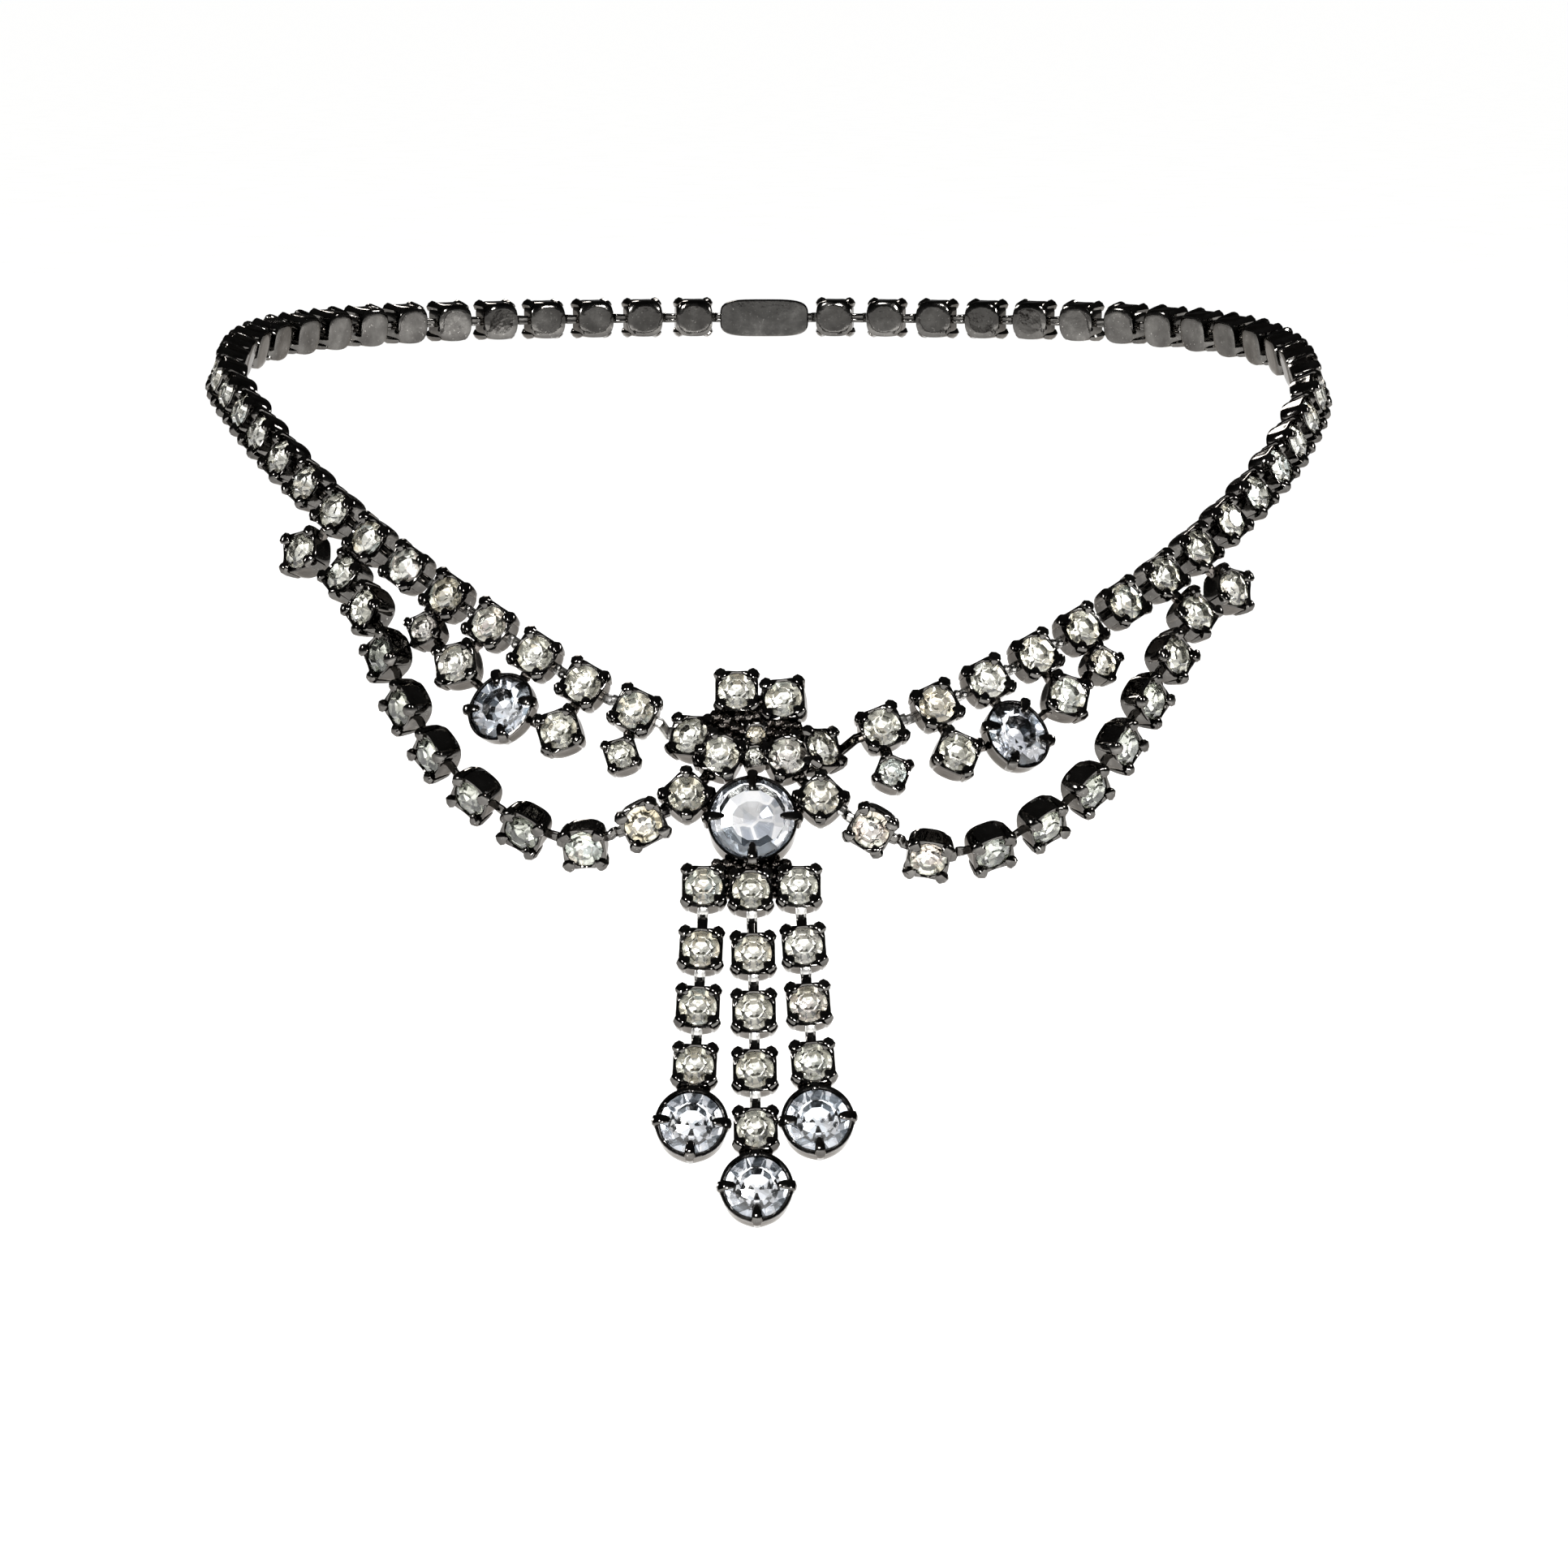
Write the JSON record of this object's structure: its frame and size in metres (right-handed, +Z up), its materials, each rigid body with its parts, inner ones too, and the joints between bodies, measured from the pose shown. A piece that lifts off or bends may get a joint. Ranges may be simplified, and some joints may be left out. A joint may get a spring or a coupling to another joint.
{
  "type": "rhinestone necklace",
  "caption": "Rhinestone bib necklace: a loop of square cup chain with soldered side drops and two swags meeting a centrepiece of cut stones and hanging strands.",
  "frame": {"origin": "the point where the middle of the clasp's inner face touches the nape of the neck", "axes": "+Z up, -Y towards the front of the wearer, +X towards the right of the picture, which is the wearer's left"},
  "size_m": [0.1298, 0.1436, 0.0882],
  "materials": {
    "plated_metal": "dark grey plated brass, polished and slightly worn",
    "clasp_metal": "dark grey plated brass, polished",
    "chain_glass": "clear cut glass with a silvery foil back",
    "swag_glass": "clear cut glass with a greyer foil back",
    "large_glass": "clear cut glass with a faint blue cast and a foil back"
  },
  "bodies": {
    "root": {"neck_chain_left": "plated_metal", "neck_chain_right": "plated_metal", "inner_link_left": "plated_metal", "inner_link_right": "plated_metal", "side_panel_left": "plated_metal", "side_panel_right": "plated_metal", "swag_left": "plated_metal", "swag_right": "plated_metal", "centre_setting": "plated_metal", "pendant_left": "plated_metal", "pendant_centre": "plated_metal", "pendant_right": "plated_metal", "clasp": "clasp_metal", "neck_stones_left": "chain_glass", "neck_stones_right": "chain_glass", "swag_stones_left": "swag_glass", "swag_stones_right": "swag_glass", "pendant_stones_left": "chain_glass", "pendant_stones_centre": "chain_glass", "pendant_stones_right": "chain_glass", "centre_stone": "large_glass", "drop_stone_left": "large_glass", "drop_stone_centre": "large_glass", "drop_stone_right": "large_glass", "inner_small_stone_left": "chain_glass", "inner_medium_stone_left": "chain_glass", "oval_stone_left": "large_glass", "outer_medium_stone_left": "chain_glass", "outer_small_stone_left": "chain_glass", "far_medium_stone_left": "chain_glass", "inner_small_stone_right": "chain_glass", "inner_medium_stone_right": "chain_glass", "oval_stone_right": "large_glass", "outer_medium_stone_right": "chain_glass", "outer_small_stone_right": "chain_glass", "far_medium_stone_right": "chain_glass", "top_left_stone": "chain_glass", "top_right_stone": "chain_glass", "outer_left_stone": "chain_glass", "inner_left_stone": "chain_glass", "upper_tiny_stone": "chain_glass", "lower_tiny_stone": "chain_glass", "inner_right_stone": "chain_glass", "outer_right_stone": "chain_glass", "flank_left_stone": "chain_glass", "flank_right_stone": "chain_glass", "row_left_stone": "chain_glass", "row_mid_stone": "chain_glass", "row_right_stone": "chain_glass"}
  },
  "joints": []
}
